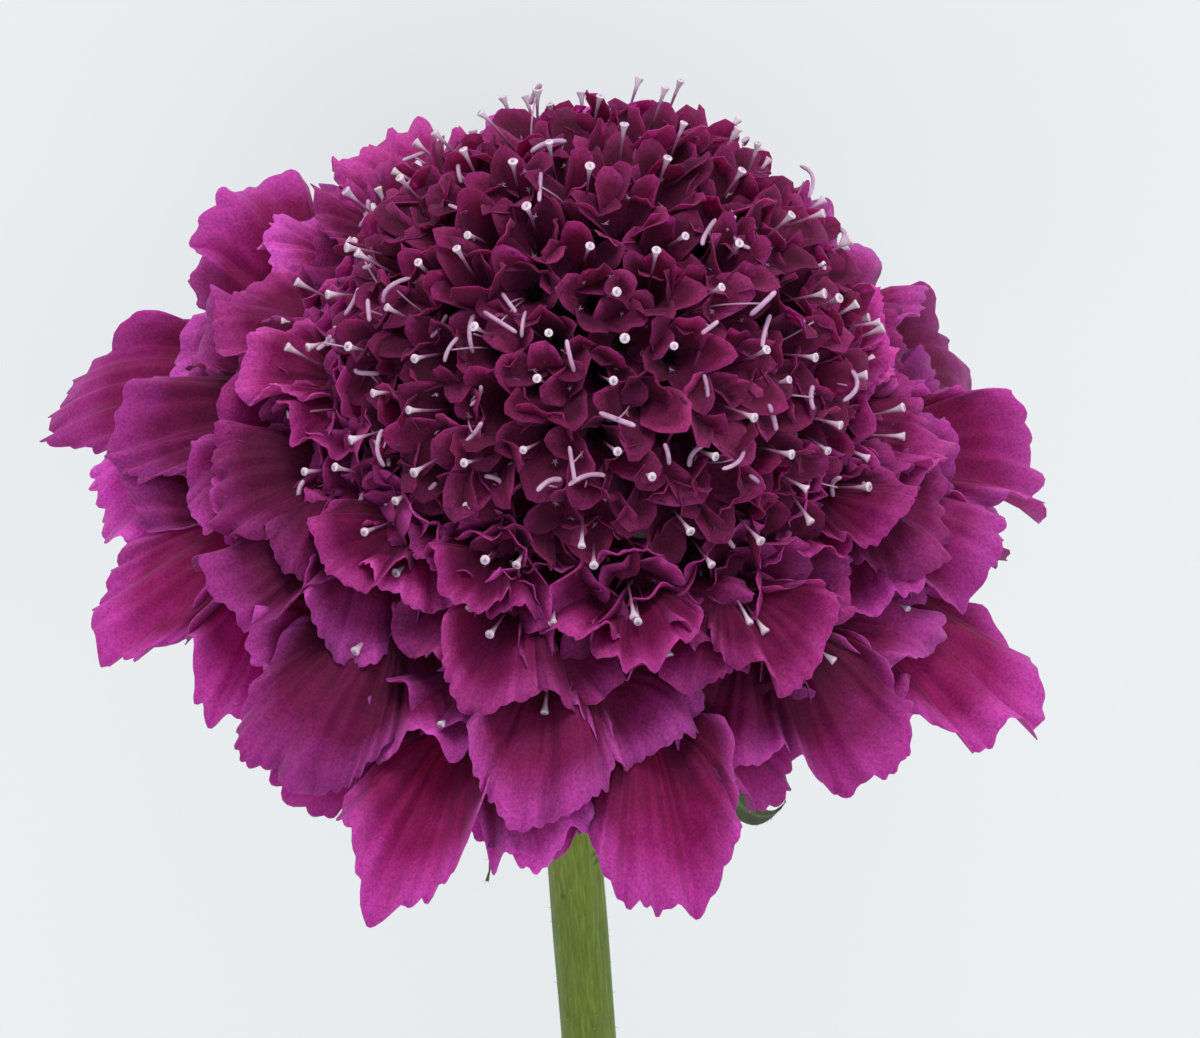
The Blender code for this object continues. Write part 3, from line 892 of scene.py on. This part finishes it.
def petal_finish(name, stops, rim, back, veins=0.16, sheen=0.05, shine=0.1):
    """A velvety petal. stops colour it from throat to tip, rim is its margin's colour, partly the
    margin's own paler tone and partly painted sheen, back its underside's, and veins says how dark
    the fan of veins is."""
    look = Finish(name)
    along, across, tone = look.value("along"), look.value("across"), look.value("tone")
    blotch = look.times(look.maths("SUBTRACT", look.noise(430), 0.5), 0.55)
    colour = look.ramp(look.plus(along, blotch), stops)
    # Towards the margin the rim colour is mixed in: partly the margin's own paler tone, partly
    # painted sheen
    rim_tone_and_sheen = look.fade(look.value("rim"), 0.78, 1, most=0.6)
    colour = look.blend(rim_tone_and_sheen, colour, (*rim, 1))
    behind = look.fade(look.value("under"), 0, 1, most=0.75)
    colour = look.blend(behind, colour, (*back, 1))
    wander = look.plus(look.times(across, 70), look.times(look.noise(900), 6))
    lift = look.times(along, 5)
    fan_place = look.vector(wander, lift, look.times(tone, 90))
    fan = look.noise(1, detail=4, vector=fan_place, roughness=0.55)
    dark = (1 - veins, 1 - veins, 1 - veins * 0.8)
    shade = look.ramp(fan, ((0.33, dark), (0.55, (1, 1, 1))))
    from_throat = look.fade(along, 0.05, 0.6)
    colour = look.blend(from_throat, colour, look.tinted(colour, shade))
    tints = (
        (0, (0.6, 0.56, 0.6)),
        (0.5, (0.94, 0.9, 0.92)),
        (0.84, (1.2, 1.25, 1.18)),
        (1, (1.75, 2.05, 1.8)),
    )
    colour = look.tinted(colour, look.ramp(tone, tints))
    grain = look.noise(5200, roughness=0.7)
    speck = look.ramp(grain, ((0.34, (0.72, 0.68, 0.72)), (0.66, (1.28, 1.45, 1.3))))
    look.set(
        Base_Color=look.tinted(colour, speck),
        Roughness=0.7,
        Sheen_Weight=sheen,
        Sheen_Roughness=0.4,
        Sheen_Tint=(1, 0.5, 0.85, 1),
        Specular_IOR_Level=shine,
        Subsurface_Weight=0.45,
        Subsurface_Radius=(1, 0.2, 0.6),
        Subsurface_Scale=0.8 * MM,
        Normal=look.bump(look.plus(fan, grain), strength=0.5, distance=0.07 * MM),
    )
    return look.material


def along_finish(name, start, end, roughness):
    return stops_finish(name, ((0, start), (1, end)), roughness)


def stops_finish(name, stops, roughness):
    """A finish whose colour goes through the stops by the value along, faintly mottled."""
    look = Finish(name)
    speck = look.ramp(look.noise(2400), ((0.3, (0.82, 0.8, 0.82)), (0.7, (1.1, 1.1, 1.1))))
    colour = look.tinted(look.ramp(look.value("along"), stops), speck)
    look.set(Base_Color=colour, Roughness=roughness, Specular_IOR_Level=0.3)
    look.set(Subsurface_Weight=0.25, Subsurface_Scale=0.25 * MM)
    return look.material


def leaf_finish():
    """A bract: dull green, with a paler midrib and back and faint long veins."""
    look = Finish("bract_leaf")
    across, along = look.value("across"), look.value("along")
    greens = ((0, (0.09, 0.16, 0.03)), (0.6, (0.045, 0.085, 0.022)), (1, (0.06, 0.07, 0.035)))
    green = look.ramp(along, greens)
    mid = look.fade(look.maths("ABSOLUTE", across), 0.22, 0.05, most=0.6)
    green = look.blend(mid, green, (0.15, 0.22, 0.07, 1))
    behind = look.fade(look.value("under"), 0, 1, most=0.4)
    green = look.blend(behind, green, (0.13, 0.18, 0.08, 1))
    lines_place = look.vector(look.times(across, 9), look.times(along, 1.5), 0)
    lines = look.noise(1, detail=4, vector=lines_place)
    patches = ((0.3, (0.7, 0.74, 0.7)), (0.7, (1.2, 1.15, 1.2)))
    green = look.tinted(green, look.ramp(look.noise(700, detail=4), patches))
    look.set(Base_Color=green, Roughness=0.66, Specular_IOR_Level=0.3, Sheen_Weight=0.15)
    relief = look.plus(lines, look.noise(2600))
    look.set(Normal=look.bump(relief, strength=0.5, distance=0.1 * MM))
    return look.material


def stem_finish():
    """A stem: yellowish green with long faint ribs, small dark specks and a pale pith."""
    look = Finish("stem_skin")
    around, along, pith = look.value("around"), look.value("along"), look.value("pith")
    place = look.vector(
        look.times(look.maths("COSINE", around), 1.4),
        look.times(look.maths("SINE", around), 1.4),
        look.times(along, 9),
    )
    streak = look.noise(7, detail=5, vector=place, roughness=0.6)
    patch = look.noise(160)
    greens = ((0.3, (0.085, 0.125, 0.01)), (0.55, (0.13, 0.185, 0.018)), (0.75, (0.2, 0.265, 0.04)))
    green = look.ramp(streak, greens)
    warm = look.ramp(patch, ((0.35, (0.86, 0.92, 0.8)), (0.7, (1.16, 1.06, 1.1))))
    green = look.tinted(green, warm)
    cells = look.node("ShaderNodeTexVoronoi", {"Vector": look.place(), "Scale": 430.0})
    spot = look.fade(cells.outputs["Distance"], 0.2, 0.08, most=0.9)
    some = look.fade(look.noise(170, detail=1), 0.56, 0.6)
    green = look.blend(look.times(spot, some), green, (0.03, 0.045, 0.02, 1))
    green = look.blend(pith, green, (0.55, 0.6, 0.36, 1))
    look.set(Base_Color=green, Roughness=0.55, Specular_IOR_Level=0.2)
    relief = look.plus(streak, look.times(look.noise(3000), 0.3))
    look.set(Normal=look.bump(relief, strength=0.35, distance=0.12 * MM))
    return look.material


# Pieces


def make_corollas(rays, seconds, middles, discs):
    """The petals, in a piece for each kind of floret and two for the rays."""
    ray_look = petal_finish("ray_petal", **RAY_PETAL)
    middle_look = petal_finish("middle_petal", **MIDDLE_PETAL)
    disc_look = petal_finish("disc_petal", **DISC_PETAL)
    half = RAYS.count // 2
    groups = (
        ("ray_florets_upper", rays[:half], ray_look, RAY_GRIDS),
        ("ray_florets_lower", rays[half:], ray_look, RAY_GRIDS),
        ("second_florets", seconds, middle_look, SECOND_GRIDS),
        ("middle_florets", middles, middle_look, MIDDLE_GRIDS),
        ("disc_florets", discs, disc_look, DISC_GRIDS),
    )
    for name, plants, look, grids in groups:
        surface = Surface(name)
        for plant in plants:
            add_lobes(surface, plant, random.Random(HEAD_SEED * 3 + plant.index), grids)
        surface.make("flower_head", "petals", look)


def make_throats(plants):
    """The florets' tubes, and the styles, stamens and hairs that stand in their throats."""
    tubes, styles = Surface("floret_tubes"), Surface("styles")
    filaments, anthers, hairs = Surface("filaments"), Surface("anthers"), Surface("throat_hairs")
    for plant in plants:
        draw = random.Random(HEAD_SEED * 5 + plant.index)
        tubes.add_grid(floret_tube(plant), closed=True, along=0.1)
        if plant.styled:
            grid, shares = style_grid(plant, draw)
            styles.add_grid(grid, closed=True, along=shares[:, None])
        if draw.random() < STAMEN_CHANCE:
            for _ in range(draw.randint(1, 2)):
                add_stamen(plant, draw, filaments, anthers)
        add_tufts(plant, draw, hairs)
    style_stops = ((0.6, MAROON), (0.84, (0.22, 0.08, 0.17)), (0.96, (0.56, 0.44, 0.53)))
    looks = (
        (styles, stops_finish("style", style_stops, roughness=0.45)),
        # The tubes' colour is partly their own, partly painted light for the shaded hollows between
        # florets
        (tubes, along_finish("floret_tube", TUBE_PLUM_AND_PAINTED_LIGHT, TUBE_PLUM_AND_PAINTED_LIGHT, roughness=0.7)),
        (filaments, along_finish("filament", MAROON, (0.45, 0.25, 0.4), roughness=0.5)),
        (anthers, along_finish("anther", (0.33, 0.18, 0.3), (0.43, 0.27, 0.4), roughness=0.6)),
        (hairs, along_finish("throat_hair", (0.25, 0.1, 0.2), (0.45, 0.29, 0.42), roughness=0.6)),
    )
    for surface, look in looks:
        surface.make("flower_head", "petals", look)


def make_florets():
    rays = [ray_floret(number) for number in range(RAYS.count)]
    middles = [middle_floret(number) for number in range(MIDDLES.count)]
    discs = [disc_floret(number) for number in range(DISCS.count)]
    seconds = [second_floret(number) for number in range(SECONDS.count)]
    make_corollas(rays, seconds, middles, discs)
    make_throats(rays + seconds + middles + discs)


def make_core():
    """The receptacle behind the florets, seen in their gaps and from behind."""
    steps = np.linspace(0, math.pi, 17)[:, None]
    turn = ring_turns(40)[None, :]
    bumps = 1 + 0.03 * np.sin(steps * 16) * np.sin(turn * 20)
    radii = CORE_RADIUS * np.sin(steps) ** 0.8 * bumps
    heights = CORE_MIDDLE + CORE_RISE * np.cos(steps) + 0 * turn
    grid = np.stack([radii * np.cos(turn), radii * np.sin(turn), heights], axis=-1)
    surface = Surface("receptacle")
    surface.add_grid(grid, closed=True, along=0)
    look = along_finish("receptacle", CORE_GREEN, CORE_GREEN, roughness=0.8)
    surface.make("flower_head", "bracts", look)


def bract_sheet(index, draw):
    """A bract as the CAD draws it, hollowed along its midrib and with its tip curled up or down. The
    hooked one's tip goes sideways as well, which the CAD's doesn't."""
    hooked = index == HOOKED_BRACT
    turn = (index + draw.uniform(-0.2, 0.2)) / BRACT_COUNT * 2 * math.pi
    length = BRACT_LENGTHS[index % 2] * draw.uniform(0.93, 1.05)
    droop = BRACT_DROOP + draw.uniform(-0.04, 0.04)
    level = np.array((math.cos(turn), math.sin(turn), 0))
    side = np.array((-level[1], level[0], 0))
    along = np.linspace(0, 1, 60 if hooked else 30)[:, None]
    across = np.linspace(-1, 1, 13)[None, :]
    fall = droop + BRACT_BEND * (along - 0.5)
    tip = 1 - 0.9 * smooth((along - 0.86) / 0.14)
    width = BRACT_WIDTH * (0.55 + 0.9 * along - 1.4 * along**2) * tip
    width = width * (1 + 0.04 * np.sin(along * draw.uniform(20, 34) + np.sign(across)))
    if hooked:
        length *= HOOK_LENGTH
        width = width * HOOK_WIDTH
    ahead, aside, angle = follow(along, HOOK_ANGLES if hooked else (0, 0))
    run = length * ahead - width / 2 * across * np.sin(angle)
    sideways = length * aside + width / 2 * across * np.cos(angle)
    out = BRACT_ROOT_RADIUS + np.cos(fall) * run
    down = COLLAR_HEIGHT * 0.5 + STEM_TOP + BRACT_SEAT + np.sin(fall) * run
    curl = draw.uniform(*BRACT_CURLS) * MM * smooth((along - 0.6) / 0.4) ** 2
    curl = curl * np.sign(draw.uniform(-0.4, 1))
    midrib = BRACT_MIDRIB * np.exp(-((across / 0.12) ** 2)) * (1 - along)
    hollow = BRACT_HOLLOW * width * across**2 + midrib
    lift = hollow + curl + BRACT_WARP * np.sin(along * 15 + draw.uniform(0, 6)) * across
    points = level * (out + np.sin(fall) * lift)[..., None] + side * sideways[..., None]
    points = points - np.array((0, 0, 1)) * (down - np.cos(fall) * lift)[..., None]
    return points, along, across, level, side


def add_bract_hairs(hairs, draw, points, level, side):
    """Short hairs, most of them along a bract's edges."""
    for _ in range(BRACT_HAIRS):
        row = draw.randrange(2, len(points))
        column = draw.choice((0, 0, -1, -1, draw.randrange(points.shape[1])))
        edge = {0: -1, -1: 1}.get(column, 0)
        way = side * edge + level * draw.uniform(0, 0.8)
        way = unit(way + np.array((0, 0, draw.uniform(-1.2, 0.2))))
        add_hair(hairs, draw, points[row, column], way, BRACT_HAIR_LENGTHS, BRACT_HAIR_BEND)


def collar_grid():
    """A ring with a round section, on which the bracts stand."""
    turn = ring_turns(48)[None, :]
    section = np.linspace(0, 2 * math.pi, 17)[:, None]
    inside = NECK_RADIUS + COLLAR_GAP
    ridge = 1 + 0.03 * np.cos(turn * BRACT_COUNT)
    radius = mix(inside, COLLAR_RADIUS, 0.5 - 0.5 * np.cos(section)) * ridge
    height = STEM_TOP - COLLAR_HEIGHT * (0.5 - 0.5 * np.sin(section)) + 0 * turn
    return np.stack([radius * np.cos(turn), radius * np.sin(turn), height], axis=-1)


def make_involucre():
    """The collar and the bracts, with short grey hairs along the bracts' edges and backs."""
    leaves, hairs = Surface("bracts"), Surface("bract_hairs")
    for index in range(BRACT_COUNT):
        draw = random.Random(BRACT_SEED + index)
        points, along, across, level, side = bract_sheet(index, draw)
        thickness = BRACT_THICKNESS * (1 - 0.5 * across**2 - 0.3 * along)
        leaves.add_sheet(points, thickness, along=along, across=across)
        add_bract_hairs(hairs, draw, points, level, side)
    leaves.add_grid(collar_grid(), closed=True, along=0, across=0.5, under=0)
    leaves.make("involucre", "bracts", leaf_finish())
    look = along_finish("bract_hair", (0.2, 0.24, 0.16), (0.42, 0.44, 0.4), roughness=0.6)
    hairs.make("involucre", "bracts", look)


def through(points, steps):
    """A smooth line through the points, at steps from 0 to their last number."""
    before, after = 2 * points[:1] - points[1:2], 2 * points[-1:] - points[-2:-1]
    ends = np.concatenate([before, points, after])
    start = np.minimum(steps.astype(int), len(points) - 2)
    t = (steps - start)[:, None]
    a, b, c, d = (ends[start + k] for k in range(4))
    square, cube = a - 2.5 * b + 2 * c - d / 2, 1.5 * (b - c) + (d - a) / 2
    return b + t * (c - a) / 2 + t**2 * square + t**3 * cube


def cut_end(path, rim):
    """The stem's cut face, from the rim in, and how near its middle each ring is."""
    share = np.array(CUT_STEPS)[:, None]
    dip = unit(path[-1] - path[-2]) * CUT_DIP
    spokes = (rim - path[-1])[None] * share[..., None]
    return path[-1] + spokes - dip * (1 - share[..., None]) ** 0.5, 1 - share


def make_stem():
    """The stem on the CAD stem's line: faintly ribbed, swollen at the neck, with a cut end that shows
    its pith, and with very short hairs."""
    steps = np.linspace(0, len(STEM_RINGS) - 1, STEM_STEPS)
    path = through(STEM_RINGS, steps)
    pieces = np.linalg.norm(np.diff(path, axis=0), axis=1)
    run = np.concatenate([[0], np.cumsum(pieces)])[:, None]
    turn = ring_turns(STEM_SIDES)[None, :]
    radius = mix(NECK_RADIUS, STEM_RADIUS, smooth(run / NECK_LENGTH))
    ribs = 0.018 * np.cos(9 * turn + 0.25 * np.sin(run / (11 * MM))) + 0.009 * np.cos(23 * turn + 1)
    swell = 0.012 * np.sin(run / (7 * MM)) + 0.01 * np.sin(run / (3.1 * MM) + 2 * turn)
    grid = tube_grid(path, radius * (1 + ribs + swell), STEM_SIDES)
    surface = Surface("stem_skin", Matrix())
    surface.add_grid(grid, closed=True, along=run / run[-1], around=turn, pith=0)
    cap, inwards = cut_end(path, grid[-1])
    surface.add_grid(cap, closed=True, along=1, around=turn, pith=smooth(inwards / 0.25))
    surface.make("stem", "stem", stem_finish())
    make_stem_hairs(path, grid)


def make_stem_hairs(path, grid):
    draw = random.Random(STEM_HAIR_SEED)
    hairs = Surface("stem_hairs", Matrix())
    for _ in range(STEM_HAIRS):
        row, column = draw.randrange(4, len(path)), draw.randrange(STEM_SIDES)
        root = grid[row, column]
        way = unit(root - path[row] + drawn_vector(draw, 0.5) * MM)
        add_hair(hairs, draw, root, way, STEM_HAIR_LENGTHS)
    look = along_finish("stem_hair", (0.25, 0.3, 0.15), (0.5, 0.52, 0.42), roughness=0.5)
    hairs.make("stem", "stem", look)


# Stage


def make_stage():
    bpy.ops.mesh.primitive_plane_add(size=4, location=(0, 0, -FLOOR_DROP))
    floor = bpy.context.object
    floor.name = "floor"
    look = Finish("paper")
    look.set(Base_Color=(0.15, 0.155, 0.158, 1), Roughness=0.9, Specular_IOR_Level=0.1)
    look.set(Emission_Color=(0.945, 0.98, 1.0, 1), Emission_Strength=0.71)
    floor.data.materials.append(look.material)


def view_frame():
    """The camera's right, up and back directions: it looks down on the bloom, with the stem's way
    down in the picture."""
    height = NECK_TILT + VIEW_FROM_AXIS
    back = Vector((0, -math.cos(height), math.sin(height)))
    up = Vector((0, -math.sin(height), -math.cos(height)))
    return up.cross(back), up, back


def make_camera():
    """The camera, placed so that the neck would be at its pixel of the photograph."""
    right, up, back = view_frame()
    lens = bpy.data.cameras.new("camera")
    lens.lens = lens.sensor_width * VIEW_DISTANCE / (PHOTO_SIZE[0] * PIXEL)
    lens.clip_start = 0.01
    camera = bpy.data.objects.new("camera", lens)
    bpy.context.scene.collection.objects.link(camera)
    aim = NECK + right * (PHOTO_SIZE[0] / 2 - NECK_PIXEL[0]) * PIXEL
    aim = aim - up * (PHOTO_SIZE[1] / 2 - NECK_PIXEL[1]) * PIXEL
    turned = Matrix((right, up, back)).transposed().to_4x4()
    camera.matrix_world = Matrix.Translation(aim + back * VIEW_DISTANCE) @ turned
    bpy.context.scene.camera = camera


def make_light(name, way, distance, size, power, colour):
    """An area light that shines on the head from along way."""
    lamp = bpy.data.lights.new(name, "AREA")
    lamp.shape = "DISK"
    lamp.size = size
    lamp.energy = power
    lamp.color = colour
    made = bpy.data.objects.new(name, lamp)
    bpy.context.scene.collection.objects.link(made)
    way = Vector(way).normalized()
    made.location = NECK + way * distance
    made.rotation_euler = way.to_track_quat("Z", "Y").to_euler()


def make_lights():
    right, up, back = view_frame()
    key = up * 0.75 + back * 0.7 + right * 0.05
    make_light("key", key, distance=1.4, size=0.7, power=21.0, colour=(1, 0.985, 0.97))
    fill = back * 1.0 + right * 0.5 - up * 0.2
    make_light("fill", fill, distance=1.2, size=0.9, power=4.0, colour=(0.95, 0.97, 1))
    world = bpy.data.worlds.new("world")
    world.use_nodes = True
    sky = world.node_tree.nodes["Background"]
    sky.inputs["Color"].default_value = (0.93, 0.965, 1, 1)
    sky.inputs["Strength"].default_value = 0.85
    bpy.context.scene.world = world
    bpy.context.scene.view_settings.view_transform = "Standard"


make_florets()
make_core()
make_involucre()
make_stem()
make_stage()
make_camera()
make_lights()
